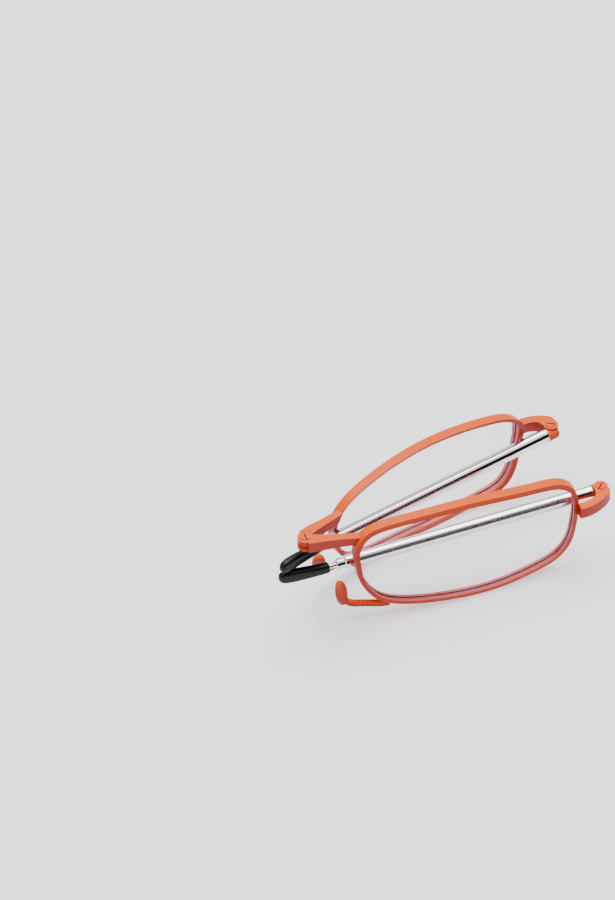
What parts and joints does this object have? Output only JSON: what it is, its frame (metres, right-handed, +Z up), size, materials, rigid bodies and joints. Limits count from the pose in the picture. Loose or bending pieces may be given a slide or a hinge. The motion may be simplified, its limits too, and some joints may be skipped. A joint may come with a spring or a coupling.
{
  "type": "folding reading glasses",
  "caption": "Folding metal reading glasses, folded: painted half frames hinged at the bridge, telescoping chrome temples and black ear tips.",
  "frame": {"origin": "on the surface the rims stand on, under the middle of the folded glasses", "axes": "+X from the bridge hinge to the temple hinges along the middle of the fold, +Y towards the wearer's right half, +Z up"},
  "size_m": [0.0732, 0.0304, 0.0263],
  "materials": {
    "paint": "satin orange enamel",
    "lens": "clear, polished",
    "chrome": "polished",
    "steel": "bare",
    "bush": "plain",
    "tip": "gloss"
  },
  "bodies": {
    "left_front": {"left_rim": "paint", "left_lens": "lens", "left_bridge_arm": "paint", "bridge_screw": "paint", "bridge_washer_upper": "steel", "bridge_washer_lower": "steel", "left_pad_arm": "paint", "left_nose_pad": "paint", "left_end_piece": "paint", "left_hinge_screw": "paint"},
    "right_front": {"right_rim": "paint", "right_lens": "lens", "right_bridge_arm": "paint", "right_pad_arm": "paint", "right_nose_pad": "paint", "right_end_piece": "paint", "right_hinge_screw": "paint"},
    "left_temple": {"left_hinge_block": "paint", "left_temple_tube": "chrome", "left_end_collar": "chrome"},
    "right_temple": {"right_hinge_block": "paint", "right_temple_tube": "chrome", "right_end_collar": "chrome"},
    "left_rod": {"left_temple_rod": "chrome", "left_rod_bush": "bush", "left_temple_tip": "tip"},
    "right_rod": {"right_temple_rod": "chrome", "right_rod_bush": "bush", "right_temple_tip": "tip"}
  },
  "joints": [
    {"name": "bridge_fold", "type": "hinge", "parent": "left_front", "child": "right_front", "pos_m": [-0.0301, 0, 0.02145], "axis": [0, 0, 1], "range_deg": [0, 160]},
    {"name": "left_temple_hinge", "type": "hinge", "parent": "left_front", "child": "left_temple", "pos_m": [0.03502, -0.01077, 0.01545], "axis": [0.0241, -0.0042, -0.9997], "range_deg": [0, 3.5]},
    {"name": "right_temple_hinge", "type": "hinge", "parent": "right_front", "child": "right_temple", "pos_m": [0.03502, 0.01077, 0.01545], "axis": [0.0241, 0.0042, 0.9997], "range_deg": [0, 3.5]},
    {"name": "left_telescope", "type": "slide", "parent": "left_temple", "child": "left_rod", "axis": [-0.9907, 0.1339, -0.0244], "range_m": [0, 0.045]},
    {"name": "right_telescope", "type": "slide", "parent": "right_temple", "child": "right_rod", "axis": [-0.9907, -0.1339, 0.0244], "range_m": [0, 0.045]}
  ]
}
